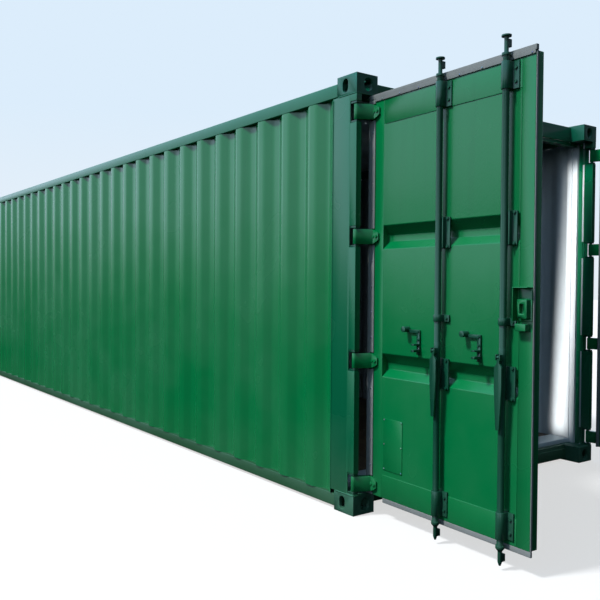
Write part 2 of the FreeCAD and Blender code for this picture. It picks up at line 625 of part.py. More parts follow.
# Handle catches: a leg with a shelf under the stowed handle and a latch over it, hung by an arm
# from a round boss.
catches = []
for place in ("inner", "outer"):
    leg = f"{place}_bar_at - catch_distance"
    name = f"catch_{place}"
    catches.append(fuse(name, [
        box(name + "_leg", leg, "face_offset - bracket_sheet", "pivot_height - 40", "22",
            "bracket_sheet", "135"),
        box(name + "_shelf", leg, "face_offset - catch_reach", "pivot_height - 24", "22",
            "catch_reach", "12"),
        box(name + "_latch", leg, "face_offset - catch_reach", "pivot_height + 12", "22",
            "catch_reach", "8"),
        box(name + "_arm", f"{leg} - 75", "face_offset - bracket_sheet", "pivot_height + 77", "97",
            "bracket_sheet", "18"),
        rod(name + "_boss", f"{leg} - 75", "face_offset - 40", "pivot_height + 95", "16", "40",
            Vector(0, 1, 0))]))
hang_pair("handle_catches", group("catch_row", catches))


# ---------------------------------------------------------------- locking bars
# A round bar with a narrow neck at each end that carries the cam, and a hub for the handle.
def bar(place):
    bar_at = f"{place}_bar_at"
    name = f"{place}_bar"
    neck_low, neck_high = "bar_bottom + neck_length", "bar_top - neck_length"
    pieces = [
        rod(name + "_shaft", bar_at, bar_y, neck_low, "bar_radius",
            "bar_top - bar_bottom - 2 * neck_length"),
        rod(name + "_neck", bar_at, bar_y, "bar_bottom + tip_length", "neck_radius",
            "bar_top - bar_bottom - tip_length"),
        cone(name + "_tip", bar_at, bar_y, "bar_bottom", "tip_radius", "neck_radius", "tip_length"),
        cone(name + "_shoulder", bar_at, bar_y, "bar_bottom + neck_length - shoulder_length",
              "neck_radius", "collar_radius", "shoulder_length"),
        rod(name + "_cap", bar_at, bar_y, "bar_top - cap_height", "cap_radius", "cap_height"),
        rod(name + "_hub", bar_at, bar_y, "pivot_height - hub_height / 2", "hub_radius",
            "hub_height")]
    for level, base in (("low", "bar_bottom + cam_from_end"),
                        ("high", "bar_top - cam_from_end - cam_height")):
        pieces.append(box(f"{name}_cam_{level}", f"{bar_at} - cam_thickness / 2", bar_y, base,
                          "cam_thickness", "cam_reach", "cam_height"))
    for level, base in (("low", neck_low), ("high", f"{neck_high} - collar_height")):
        pieces.append(rod(f"{name}_collar_{level}", bar_at, bar_y, base, "collar_radius",
                          "collar_height"))
    for side, start in (("left", "-hub_gap / 2 - hub_cheek"), ("right", "hub_gap / 2")):
        pieces.append(box(f"{name}_cheek_{side}", f"{bar_at} + {start}",
                          f"{bar_y} - pivot_reach - handle_eye_radius", "pivot_height - 14",
                          "hub_cheek", "pivot_reach + handle_eye_radius", "28"))
    pieces.append(rod(f"{name}_handle_pin", f"{bar_at} - hub_gap / 2 - hub_cheek",
                      f"{bar_y} - pivot_reach", "pivot_height", "handle_pin_radius",
                      "hub_gap + 2 * hub_cheek", Vector(1, 0, 0)))
    return fuse(name, pieces)


def handle(place):
    """A flat forged handle that hangs from the hub's pin."""
    bar_at = f"{place}_bar_at"
    name = f"{place}_handle"
    pivot_y = f"{bar_y} - pivot_reach"
    eye = rod(name + "_eye", f"{bar_at} - handle_eye_width / 2", pivot_y, "pivot_height",
              "handle_eye_radius", "handle_eye_width", Vector(1, 0, 0))
    head, tip, tang = dim.handle_head / 2, dim.handle_tip / 2, dim.handle_eye_width / 2
    grip_body = new_body(name + "_grip")
    side = [(tang, 0), (tang, -28), (head, -46), (head, -150), (tip, -dim.handle_length)]
    grip = draw(grip_body, name + "_outline", "XZ_Plane",
                [side + [(-across, along) for across, along in reversed(side)]])
    pad(grip_body, grip, "handle_thickness", centred=True)
    bind(grip_body, Base_x=bar_at, Base_y=pivot_y, Base_z="pivot_height")
    bore = rod(name + "_bore", f"{bar_at} - handle_eye_width", pivot_y, "pivot_height",
               "handle_pin_radius + pin_play", "2 * handle_eye_width", Vector(1, 0, 0))
    return cut(name, fuse(name + "_whole", [eye, grip_body]), bore)


for place in ("inner", "outer"):
    hang_pair(f"{place}_bar", bar(place))
    hang_pair(f"{place}_handle", handle(place))

# ---------------------------------------------------------------- lock box and data plate
lock_outer = box("lock_outer", "lock_at", "face_offset - lock_depth", "lock_bottom", "lock_width",
                 "lock_depth", "lock_height")
lock_inner = box("lock_inner", "lock_at + lock_sheet", "face_offset - lock_depth - 1",
                 "lock_bottom - 1", "lock_width", "lock_depth + 1 - lock_sheet",
                 "lock_height - lock_sheet + 1")
lock_housing = box("lock_housing", "lock_at + 22", "face_offset - housing_depth", "lock_bottom + 14",
                   "56", "housing_depth", "88")
lock_slot = box("lock_slot", "lock_at + 36", "face_offset - housing_depth - 1", "lock_bottom + 36",
                "24", "22", "44")
lock_block = box("lock_block", "lock_at + 10", "face_offset - housing_depth", "lock_bottom - 46",
                 "62", "housing_depth", "34")
lock = group("lock_hung", [
    fuse("lock_shell", [cut("lock_shroud", lock_outer, lock_inner),
                        cut("lock_body", lock_housing, lock_slot)]), lock_block])
plate = group("plate_hung", [box("plate_blank", "plate_at", "face_offset + panel_setback - plate_sheet",
                                 "plate_bottom", "plate_width", "plate_sheet", "plate_height")])
for label, piece in (("lock_box", lock), ("data_plate", plate)):
    bind(piece, Base_x="overall_length / 2 - hinge_inset", Base_y="-overall_width / 2 + hinge_inset",
         Turn="90 - near_open")
    keep(label, piece)

# ---------------------------------------------------------------- check and write
doc.recompute()
for thing in doc.Objects:
    if "Invalid" in thing.State or "Error" in thing.State:
        raise RuntimeError(f"{thing.Name} ({thing.Label}) did not compute: {thing.State}")
for piece in nodes:
    shape = piece.Shape
    if shape.isNull() or not shape.isValid():
        raise RuntimeError(piece.Label + " has no valid shape")
    shape.exportStep(f"parts/{piece.Label}.step")
    print(f"{piece.Label:26s} {len(shape.Solids):3d} solids {shape.Volume / 1e6:9.2f} dm3")
print(len(nodes), "nodes")
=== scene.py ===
import math

import bmesh
import bpy
import numpy as np
from mathutils import Matrix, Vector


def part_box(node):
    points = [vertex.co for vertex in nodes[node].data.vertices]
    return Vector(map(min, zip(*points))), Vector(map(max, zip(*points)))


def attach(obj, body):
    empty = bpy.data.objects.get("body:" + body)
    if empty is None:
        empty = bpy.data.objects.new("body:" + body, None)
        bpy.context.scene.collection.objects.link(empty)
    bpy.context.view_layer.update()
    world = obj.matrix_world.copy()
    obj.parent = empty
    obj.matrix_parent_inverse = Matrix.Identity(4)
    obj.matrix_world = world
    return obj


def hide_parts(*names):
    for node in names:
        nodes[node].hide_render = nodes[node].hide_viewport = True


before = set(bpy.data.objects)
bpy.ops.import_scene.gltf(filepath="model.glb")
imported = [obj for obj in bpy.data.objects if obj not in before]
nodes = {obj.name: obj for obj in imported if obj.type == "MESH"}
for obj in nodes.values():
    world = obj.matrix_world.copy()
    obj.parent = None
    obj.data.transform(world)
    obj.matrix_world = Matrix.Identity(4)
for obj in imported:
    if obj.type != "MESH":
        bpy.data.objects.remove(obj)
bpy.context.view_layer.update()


# ---------------------------------------------------------------- camera
# A low eye height, off the open door end and to the near side, looking back along the box. The
# lens is about normal for the frame, with no shift.
eye_point = (9.3743, -4.0312, 1.3629)
heading, tilt, lean = math.radians(143.623), math.radians(-1.267), math.radians(0.408)
ahead = np.array([math.cos(heading) * math.cos(tilt), math.sin(heading) * math.cos(tilt), math.sin(tilt)])
level_right = np.cross(ahead, (0, 0, 1))
level_right /= np.linalg.norm(level_right)
level_up = np.cross(level_right, ahead)
right = level_right * math.cos(lean) + level_up * math.sin(lean)
up = level_up * math.cos(lean) - level_right * math.sin(lean)
lens = bpy.data.cameras.new("camera")
lens.sensor_width, lens.lens = 36, 740.2 / 600 * 36
camera = bpy.data.objects.new("camera", lens)
camera.matrix_world = Matrix([[right[i], up[i], -ahead[i], eye_point[i]] for i in range(3)] + [[0, 0, 0,
                                                                                                1]])
bpy.context.collection.objects.link(camera)
bpy.context.scene.camera = camera


# ---------------------------------------------------------------- floor and light
# A pale studio sweep under the box. One broad high lamp shines on the near side, and a narrow one
# in the doorway lights the last strip of the far inner wall, as daylight would. A pale hood stands
# round the near side, darker towards the door end.
def colour(code):
    """A hex colour as it is mixed on screen, turned to linear light."""
    parts = [int(code[i:i + 2], 16) / 255 for i in (1, 3, 5)]
    return [p / 12.92 if p <= 0.04045 else ((p + 0.055) / 1.055) ** 2.4 for p in parts] + [1]


def add(tree, kind, inputs={}, **settings):
    """Adds one shader node. Each input is given a value, or another node's output to follow."""
    made = tree.nodes.new(kind)
    for name, value in settings.items():
        setattr(made, name, value)
    for name, value in inputs.items():
        socket = made.inputs[name]
        if isinstance(value, bpy.types.NodeSocket):
            tree.links.new(value, socket)
        else:
            socket.default_value = value
    return made


def blended(tree, how, amount, first, second):
    """The colour mix of two sockets or colours."""
    mix = add(tree, "ShaderNodeMix", data_type="RGBA", blend_type=how)
    for slot, value in ((0, amount), (6, first), (7, second)):
        if isinstance(value, bpy.types.NodeSocket):
            tree.links.new(value, mix.inputs[slot])
        else:
            mix.inputs[slot].default_value = value
    return mix.outputs[2]


def finish(name):
    """A new material's tree and its surface shader, ready for a real finish to be set on it."""
    material = bpy.data.materials.new(name)
    material.use_nodes = True
    return material, material.node_tree, material.node_tree.nodes["Principled BSDF"]


studio_floor, tree, surface = finish("pale_sweep_card")
surface.inputs["Base Color"].default_value = colour("#8c8c8c")
surface.inputs["Roughness"].default_value = 0.9
surface.inputs["Emission Color"].default_value = colour("#f4f3f1")
surface.inputs["Emission Strength"].default_value = 0.70
sweep = bpy.data.meshes.new("studio_floor")
sweep.from_pydata([(x, y, -0.002) for x, y in ((-60, -60), (60, -60), (60, 60), (-60, 60))], [],
                  [(0, 1, 2, 3)])
sweep.materials.append(studio_floor)
floor_card = bpy.data.objects.new("studio_floor", sweep)
# The sweep is kept out of reflections and out of bounced light.
floor_card.visible_glossy = floor_card.visible_diffuse = False
bpy.context.collection.objects.link(floor_card)

world = bpy.data.worlds.new("studio")
bpy.context.scene.world = world
world.use_nodes = True
tree = world.node_tree
tree.nodes.clear()
where = add(tree, "ShaderNodeTexCoord")
height = add(tree, "ShaderNodeSeparateXYZ", {"Vector": where.outputs["Generated"]})
sky = add(tree, "ShaderNodeValToRGB", {"Fac": add(tree, "ShaderNodeMapRange", {
    "Value": height.outputs["Z"], "From Min": -0.40, "From Max": 0.60}).outputs[0]})
stops = sky.color_ramp.elements
stops[0].position, stops[0].color = 0.0, colour("#0c120e")
stops[1].position, stops[1].color = 1.0, colour("#9cc6ea")
for place, shade in ((0.36, "#0c1812"), (0.43, "#7d9690"), (0.50, "#d4eaff")):
    stop = stops.new(place)
    stop.color = colour(shade)
door_end = add(tree, "ShaderNodeVectorMath", {0: where.outputs["Generated"], 1: (0.80, 0.60, -0.10)},
               operation="DOT_PRODUCT")
hood = add(tree, "ShaderNodeMapRange", {"Value": door_end.outputs["Value"], "From Min": -0.20,
                                        "From Max": 0.60, "To Min": 1.0, "To Max": 0.14})
seen = add(tree, "ShaderNodeValToRGB", {"Fac": add(tree, "ShaderNodeMapRange", {
    "Value": height.outputs["Z"], "From Min": -0.16, "From Max": 0.22}).outputs[0]})
seen.color_ramp.elements[0].color = colour("#f2f3f4")
seen.color_ramp.elements[1].color = colour("#dcedfc")
# Reflections see the hood 1.95 times brighter than plain light does, and the camera sees a separate
# pale backdrop instead of it.
path = add(tree, "ShaderNodeLightPath")
level = add(tree, "ShaderNodeMapRange", {"Value": path.outputs["Is Glossy Ray"], "To Min": 1.0,
                                         "To Max": 1.95})
strength = add(tree, "ShaderNodeMath", {0: hood.outputs[0], 1: level.outputs[0]}, operation="MULTIPLY")
open_air = add(tree, "ShaderNodeBackground", {"Color": sky.outputs["Color"],
                                              "Strength": strength.outputs[0]})
backdrop = add(tree, "ShaderNodeBackground", {"Color": seen.outputs["Color"], "Strength": 1.0})
both = add(tree, "ShaderNodeMixShader", {"Fac": path.outputs["Is Camera Ray"], 1: open_air.outputs[0],
                                         2: backdrop.outputs[0]})
add(tree, "ShaderNodeOutputWorld", {"Surface": both.outputs[0]})

lamp = bpy.data.lights.new("high_lamp", "SUN")
lamp.energy, lamp.angle = 4.6, math.radians(9)
holder = bpy.data.objects.new("high_lamp", lamp)
toward = np.array((0.30, 1.0, -1.5))
toward = toward / np.linalg.norm(toward)
side = np.cross(toward, (0, 0, 1))
side /= np.linalg.norm(side)
over = np.cross(side, toward)
holder.matrix_world = Matrix([[side[i], over[i], -toward[i], 0] for i in range(3)] + [[0, 0, 0, 1]])
holder.visible_glossy = False
bpy.context.collection.objects.link(holder)
inside_lamp = bpy.data.lights.new("doorway_lamp", "AREA")
inside_lamp.shape, inside_lamp.size, inside_lamp.size_y = "RECTANGLE", 0.12, 2.1
inside_lamp.energy, inside_lamp.spread = 2.2, math.radians(14)
doorway = bpy.data.objects.new("doorway_lamp", inside_lamp)
doorway.location = (5.90, 0.35, 1.24)
doorway.rotation_euler = (math.radians(90), math.radians(3.5), 0)
doorway.visible_glossy = doorway.visible_camera = False
bpy.context.collection.objects.link(doorway)
bpy.context.scene.view_settings.view_transform = "Standard"


# ---------------------------------------------------------------- side walls and front wall
# Weathering steel sheet pressed into trapezoid corrugations, welded to the rails and posts all
# round. The press leaves round bends, and the welding leaves the flats slightly wavy.
def painted_steel(name, code, gloss, wave, dust=0.25, faded="#5f8a74"):
    """Gloss container paint sprayed on steel: an even coat whose reflection wobbles with the
    plate, faded in soft runs, with dust low down. Sizes: plate waves 400 mm, coat ripple 14 mm
    where a real one is 2 mm and too fine to see, rain runs 60 mm wide."""
    material, tree, surface = finish(name)
    spot = add(tree, "ShaderNodeTexCoord").outputs["Object"]
    fade = add(tree, "ShaderNodeTexNoise", {"Vector": spot, "Scale": 0.9, "Detail": 4.0, "Roughness": 0.6})
    streak_place = add(tree, "ShaderNodeMapping", {"Vector": spot, "Scale": (16.0, 16.0, 0.7)})
    streak = add(tree, "ShaderNodeTexNoise", {"Vector": streak_place.outputs[0], "Scale": 1.0,
                                              "Detail": 5.0})
    worn = add(tree, "ShaderNodeMapRange", {"Value": fade.outputs["Fac"], "From Min": 0.42,
                                            "From Max": 0.75, "To Max": 0.16})
    coat = blended(tree, "MIX", worn.outputs[0], colour(code), colour(faded))
    runs = add(tree, "ShaderNodeMapRange", {"Value": streak.outputs["Fac"], "From Min": 0.55,
                                            "From Max": 0.8, "To Max": 0.12})
    coat = blended(tree, "MIX", runs.outputs[0], coat, colour("#0b3a22"))
    low = add(tree, "ShaderNodeSeparateXYZ", {"Vector": spot})
    splash = add(tree, "ShaderNodeMapRange", {"Value": low.outputs["Z"], "From Min": 0.42,
                                              "From Max": 0.05, "To Max": dust})
    grit = add(tree, "ShaderNodeTexNoise", {"Vector": spot, "Scale": 38.0, "Detail": 6.0, "Roughness": 0.7})
    dirty = add(tree, "ShaderNodeMath", {0: splash.outputs[0], 1: grit.outputs["Fac"]},
                operation="MULTIPLY")
    coat = blended(tree, "MIX", dirty.outputs[0], coat, colour("#7d8272"))
    tree.links.new(coat, surface.inputs["Base Color"])
    rough = add(tree, "ShaderNodeMapRange", {"Value": fade.outputs["Fac"], "From Min": 0.3,
                                             "From Max": 0.8, "To Min": gloss, "To Max": gloss + 0.12})
    tree.links.new(rough.outputs[0], surface.inputs["Roughness"])
    ripple = add(tree, "ShaderNodeTexNoise", {"Vector": spot, "Scale": 70.0, "Detail": 2.0})
    plate = add(tree, "ShaderNodeTexNoise", {"Vector": spot, "Scale": 2.4, "Detail": 1.0})
    fine = add(tree, "ShaderNodeBump", {"Height": ripple.outputs["Fac"], "Strength": 0.25,
                                        "Distance": 0.0012})
    broad = add(tree, "ShaderNodeBump", {"Height": plate.outputs["Fac"], "Strength": wave,
                                         "Distance": 0.02, "Normal": fine.outputs[0]})
    tree.links.new(broad.outputs[0], surface.inputs["Normal"])
    surface.inputs["IOR"].default_value = 1.5
    return material


def closed_sheet(name, outer, inner, materials):
    """A closed thin solid between two grids of points of the same size: the outer grid, the inner
    grid, and a rim of faces between their borders. The second material goes on the inner grid."""
    rows, columns = outer.shape[:2]
    count = rows * columns
    number = np.arange(count).reshape(rows, columns)
    quads = np.stack([number[:-1, :-1], number[1:, :-1], number[1:, 1:], number[:-1, 1:]], -1).reshape(-1,
                                                                                                       4)
    border = np.concatenate([number[0, :], number[1:, -1], number[-1, -2::-1], number[-2:0:-1, 0]])
    after = np.roll(border, -1)
    rim = np.stack([border, after, after + count, border + count], -1)
    faces = np.concatenate([quads, quads[:, ::-1] + count, rim])
    mesh = bpy.data.meshes.new(name)
    mesh.from_pydata(np.concatenate([outer.reshape(-1, 3), inner.reshape(-1, 3)]).tolist(), [],
                     faces.tolist())
    for material in materials:
        mesh.materials.append(material)
    which = np.zeros(len(faces), np.int32)
    which[len(quads):2 * len(quads)] = len(materials) - 1
    mesh.polygons.foreach_set("material_index", which)
    mesh.polygons.foreach_set("use_smooth", np.ones(len(faces), bool))
    shell = bmesh.new()
    shell.from_mesh(mesh)
    bmesh.ops.recalc_face_normals(shell, faces=shell.faces)
    shell.to_mesh(mesh)
    shell.free()
    mesh.set_sharp_from_angle(angle=math.radians(40))
    made = bpy.data.objects.new(name, mesh)
    bpy.context.collection.objects.link(made)
    return made


def rounded(corner, bend):
    """A folded line of corners with round bends: each corner becomes a five point curve from a
    tangent length before it to one after, (1-s)^2 start + 2s(1-s) corner + s^2 end."""
    before, middle, after = corner[:-2], corner[1:-1], corner[2:]
    into = before - middle
    out = after - middle
    into /= np.linalg.norm(into, axis=1)[:, None]
    out /= np.linalg.norm(out, axis=1)[:, None]
    s = np.linspace(0, 1, 5)[None, :, None]
    curve = ((1 - s) ** 2 * (middle + bend * into)[:, None] + 2 * s * (1 - s) * middle[:, None]
             + s ** 2 * (middle + bend * out)[:, None]).reshape(-1, 2)
    return np.concatenate([corner[:1], curve, corner[-1:]])


def press_line(length, crest, slope, depth, bays, end_cut, bend):
    """The folded line of a corrugated sheet, as distances along and depths below the crests: each
    bay goes down a slope, along a trough and up again, and a crest follows it."""
    pitch = (length + crest + 2 * end_cut) / bays
    step = np.array([0, slope, pitch - crest - slope, pitch - crest])
    along = (np.arange(bays)[:, None] * pitch - end_cut + step).ravel()
    down = np.tile([0, depth, depth, 0], bays).astype(float)
    along[0], along[1] = along[0] + end_cut, along[1] + end_cut
    along[-1], along[-2] = along[-1] - end_cut, along[-2] - end_cut
    return rounded(np.stack([along, down], -1), bend)


def pressed_wall(name, low, high, along_axis, out, line, thick, wave, materials):
    """A corrugated wall between two corners of a box: the press line along one level axis, the
    outside towards out, and a slow plate wave of two sines across and two up the wall."""
    z = np.linspace(low[2], high[2], 15)[:, None]
    u = line[None, :, 0]
    phase = 0.6 * math.pi * (1 if out > 0 else 2)
    lift = wave * (np.sin(2.1 * u + phase) * np.sin(3.1 * z) + 0.6 * np.sin(5.3 * u) * np.sin(4.7 * z + phase))
    lift = lift * np.sin(math.pi * (z - low[2]) / (high[2] - low[2]))
    cross = 1 - along_axis
    face = high[cross] if out > 0 else low[cross]
    grids = []
    for skin in (0, thick):
        grid = np.zeros((z.shape[0], u.shape[1], 3))
        grid[..., along_axis] = low[along_axis] + u
        grid[..., cross] = face - out * (line[None, :, 1] + skin + np.abs(lift))
        grid[..., 2] = z
        grids.append(grid)
    return closed_sheet(name, grids[0], grids[1], materials)


side_paint = painted_steel("gloss_green_paint_on_pressed_sheet", "#016a38", 0.20, 0.10, 0.08)
inside_paint, tree, surface = finish("satin_grey_paint_inside")
# Satin grey air-drying paint over the same sheet: flatter than the outside coat, scuffed by cargo
# in low soft patches.
spot = add(tree, "ShaderNodeTexCoord").outputs["Object"]
scuff = add(tree, "ShaderNodeTexNoise", {"Vector": spot, "Scale": 3.0, "Detail": 6.0, "Roughness": 0.65})
rubbed = add(tree, "ShaderNodeMapRange", {"Value": scuff.outputs["Fac"], "From Min": 0.5, "From Max": 0.8,
                                          "To Max": 0.35})
tree.links.new(blended(tree, "MIX", rubbed.outputs[0], colour("#c3c8ca"), colour("#9ea4a6")),
               surface.inputs["Base Color"])
skin = add(tree, "ShaderNodeBump", {"Height": scuff.outputs["Fac"], "Strength": 0.15, "Distance": 0.004})
tree.links.new(skin.outputs[0], surface.inputs["Normal"])
surface.inputs["Roughness"].default_value = 0.48

for name, node, out in (("near_wall_pressing", "near_side_wall", -1),
                        ("far_wall_pressing", "far_side_wall", 1)):
    low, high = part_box(node)
    side_line = press_line(high[0] - low[0], 0.074, 0.071, 0.036, 41, 0.045, 0.019)
    wall = pressed_wall(name, low, high, 0, out, side_line, 0.0035, 0.0012, [side_paint, inside_paint])
    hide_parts(node)
    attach(wall, "frame")
low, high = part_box("front_wall")
front_line = press_line(high[1] - low[1], 0.110, 0.018, 0.046, 9, 0.0, 0.007)
front = pressed_wall("front_wall_pressing", low, high, 1, -1, front_line, 0.0035, 0.0008,
                     [side_paint, inside_paint])
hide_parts("front_wall")
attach(front, "frame")


# ---------------------------------------------------------------- roof
# Steel sheets welded side by side, each die-stamped with cross ribs that run out before the edge,
# so that a flat margin lies on the top rails. The middle is cambered a few millimetres to shed rain.
def stamped_roof(name, low, high, ribs, material):
    """Height = camber x cos(half turn across) + rib height x rounded trapezoid along x rib mask,
    where the mask is 1 inside and falls to 0 over 90 mm at each edge by 3t^2 - 2t^3."""
    length, width = high[0] - low[0], high[1] - low[1]
    turn = np.linspace(0, 1, ribs * 14 + 1)
    across = np.concatenate([np.linspace(0, 0.20, 9), np.linspace(0.24, width - 0.24, 9),
                             np.linspace(width - 0.20, width, 9)])
    wave = np.cos(2 * math.pi * ribs * turn)
    rib = np.clip(0.5 - wave * 1.1, 0, 1)
    rib = rib * rib * (3 - 2 * rib)
    edge = np.clip((np.minimum(across, width - across) - 0.075) / 0.09, 0, 1)
    mask = edge * edge * (3 - 2 * edge)
    end = np.clip(np.minimum(turn, 1 - turn) * length / 0.08 - 0.5, 0, 1)
    camber = 0.006 * np.cos(math.pi * (across / width - 0.5))
    top = low[2] + 0.004 + camber[None, :] + 0.018 * (rib * end)[:, None] * mask[None, :]
    grid = np.zeros((len(turn), len(across), 3))
    grid[..., 0] = low[0] + length * turn[:, None]
    grid[..., 1] = low[1] + across[None, :]
    grid[..., 2] = top
    under = grid.copy()
    under[..., 2] -= 0.0035
    return closed_sheet(name, grid, under, [material, inside_paint])


low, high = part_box("roof_sheet")
roof_paint = painted_steel("weathered_green_paint_on_roof_sheet", "#1a6b42", 0.36, 0.12, 0.0, "#7b9a86")
roof = stamped_roof("roof_stampings", low, high, 45, roof_paint)
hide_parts("roof_sheet")
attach(roof, "frame")


# ---------------------------------------------------------------- corner castings
# Eight cast steel corner blocks with a slot in the top or bottom and a hole in each outer face, for
# lifting and stacking. Sand casting leaves a coarse skin and well rounded edges under the paint.
def eased(name, node, body, radius, paint, inner=None, lining=None, steps=2, split_x=()):
    """A finished copy of a made piece: its doubles merged, its flat faces joined, and its sharp
    edges rounded. Where inner is given, the faces that it picks by their centres and normals get
    the lining, after the faces are split at the distances along in split_x."""
    mesh = nodes[node].data.copy()
    mesh.name = name
    shell = bmesh.new()
    shell.from_mesh(mesh)
    bmesh.ops.remove_doubles(shell, verts=shell.verts, dist=2e-5)
    bmesh.ops.dissolve_limit(shell, angle_limit=0.01, verts=shell.verts, edges=shell.edges)
    for x in split_x:
        bmesh.ops.bisect_plane(shell, geom=shell.verts[:] + shell.edges[:] + shell.faces[:], dist=1e-5,
                               plane_co=(x, 0, 0), plane_no=(1, 0, 0))
    shell.to_mesh(mesh)
    shell.free()
    mesh.materials.clear()
    mesh.materials.append(paint)
    count = len(mesh.polygons)
    mesh.polygons.foreach_set("material_index", np.zeros(count, np.int32))
    if lining is not None:
        mesh.materials.append(lining)
        centre, normal = np.zeros(count * 3), np.zeros(count * 3)
        mesh.polygons.foreach_get("center", centre)
        mesh.polygons.foreach_get("normal", normal)
        mesh.polygons.foreach_set("material_index", inner(centre.reshape(-1, 3),
                                                          normal.reshape(-1, 3)).astype(np.int32))
    mesh.polygons.foreach_set("use_smooth", np.ones(count, bool))
    made = bpy.data.objects.new(name, mesh)
    bpy.context.collection.objects.link(made)
    edge = made.modifiers.new("eased_edges", "BEVEL")
    edge.width, edge.segments, edge.limit_method, edge.angle_limit = radius, steps, "ANGLE", math.radians(32)
    edge.harden_normals = True
    edge.miter_outer = "MITER_ARC"
    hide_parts(node)
    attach(made, body)
    return made


frame_paint = painted_steel("gloss_green_paint_on_frame", "#035a3a", 0.24, 0.03, 0.2)
cast_paint = painted_steel("green_paint_on_cast_steel", "#03503a", 0.34, 0.0, 0.25)
# Sand-cast skin: grains drawn at 4 mm, about four times real, so that they show.
tree = cast_paint.node_tree
spot = add(tree, "ShaderNodeTexCoord").outputs["Object"]
sand = add(tree, "ShaderNodeTexNoise", {"Vector": spot, "Scale": 240.0, "Detail": 3.0})
skin = add(tree, "ShaderNodeBump", {"Height": sand.outputs["Fac"], "Strength": 0.5, "Distance": 0.002})
tree.links.new(skin.outputs[0], tree.nodes["Principled BSDF"].inputs["Normal"])
eased("corner_castings_low", "bottom_corner_castings", "frame", 0.005, cast_paint, steps=3)
eased("corner_castings_high", "top_corner_castings", "frame", 0.005, cast_paint, steps=3)


# ---------------------------------------------------------------- posts
# Hot-rolled and folded steel corner posts, welded between the castings, with round folded edges.
def inside_box(centre, normal):
    """Picks faces on the cargo side: those that lie within the side walls' inner line and look
    inwards."""
    within = (np.abs(centre[:, 1]) < 1.195) & (np.abs(centre[:, 0]) < 6.025)
    return within & ((normal[:, 1] * centre[:, 1] < -1e-4) | (normal[:, 0] > 0.5))


eased("door_end_posts", "door_posts", "frame", 0.010, frame_paint, inside_box, inside_paint,
      3, (6.025,))
eased("front_end_posts", "front_posts", "frame", 0.010, frame_paint, inside_box,
      inside_paint, 3)


# ---------------------------------------------------------------- rails, header and sill
# Square tube top rails, folded bottom rails, and the folded members over and under each end.
eased("top_rail_tubes", "top_side_rails", "frame", 0.005, frame_paint)
# The low members' green is mixed darker than the frame's green as painted shade, for members that sit low and
# under the walls and floor. The dust splashed low down on it is real.
low_shade_paint = painted_steel("splashed_and_shade_darkened_green_paint_on_low_members", "#07401f", 0.42, 0.02, 0.12)
eased("bottom_rail_foldings", "bottom_side_rails", "frame", 0.004, low_shade_paint)
eased("front_end_rails", "front_cross_rails", "frame", 0.005, frame_paint)
eased("header_folding", "door_header", "frame", 0.004, frame_paint)
eased("sill_folding", "door_sill", "frame", 0.004, low_shade_paint)
eased("threshold_tread", "threshold_plate", "frame", 0.003, inside_paint)
eased("floor_bearers", "cross_members", "frame", 0.002, low_shade_paint, steps=1)


# ---------------------------------------------------------------- welds
# Fillet welds run up the ends of the side walls, and along the edges of the corner castings.
def weld_beads(name, lines, size, body, material, ripple=0.011):
    """Beads along straight lines: a point is the line's point at distance t, plus a ring of radius
    size x (1 + 0.16 |sin(pi t / ripple)|), closed by pulling the end rings to a point."""
    points, faces, base = [], [], 0
    for start, end in lines:
        start, end = np.array(start, float), np.array(end, float)
        length = np.linalg.norm(end - start)
        direction = (end - start) / length
        across = np.cross(direction, (0.31, 0.77, 0.55))
        across /= np.linalg.norm(across)
        over = np.cross(direction, across)
        rings = max(8, int(length / ripple * 2))
        t = np.linspace(0, length, rings)[:, None, None]
        a = np.linspace(0, 2 * math.pi, 7)[:-1][None, :, None]
        swell = size * (1 + 0.16 * np.abs(np.sin(math.pi * t / ripple)))
        swell[0], swell[-1] = size * 0.05, size * 0.05
        points.append((start + t * direction + swell * (np.cos(a) * across + np.sin(a) * over)).reshape(-1,
                                                                                                        3))
        number = base + np.arange(rings * 6).reshape(rings, 6)
        turned = np.roll(number, -1, 1)
        faces += np.stack([number[:-1], number[1:], turned[1:], turned[:-1]], -1).reshape(-1, 4).tolist()
        faces += [number[0].tolist(), number[-1][::-1].tolist()]
        base += rings * 6
    mesh = bpy.data.meshes.new(name)
    mesh.from_pydata(np.concatenate(points).tolist(), [], faces)
    mesh.materials.append(material)
    mesh.polygons.foreach_set("use_smooth", np.ones(len(faces), bool))
    shell = bmesh.new()
    shell.from_mesh(mesh)
    bmesh.ops.recalc_face_normals(shell, faces=shell.faces)
    shell.to_mesh(mesh)
    shell.free()
    made = bpy.data.objects.new(name, mesh)
    bpy.context.collection.objects.link(made)
    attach(made, body)
    return made


low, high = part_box("near_side_wall")
end_seams, casting_seams = [], []
for side in (-1, 1):
    for x in (low[0], high[0]):
        end_seams.append(((x, side * 1.2185, low[2] + 0.03), (x, side * 1.2185, high[2] - 0.01)))
    for end in (1, -1):
        for z in (0.118, 2.473):
            casting_seams.append(((end * 6.094, side * 1.2175, z),
                                  (end * (6.094 - 0.170), side * 1.2175, z)))
            casting_seams.append(((end * 6.0945, side * 1.216, z), (end * 6.0945, side * 1.075, z)))
weld_beads("wall_end_welds", end_seams, 0.0035, "frame", frame_paint)
weld_beads("casting_welds", casting_seams, 0.004, "frame", frame_paint)


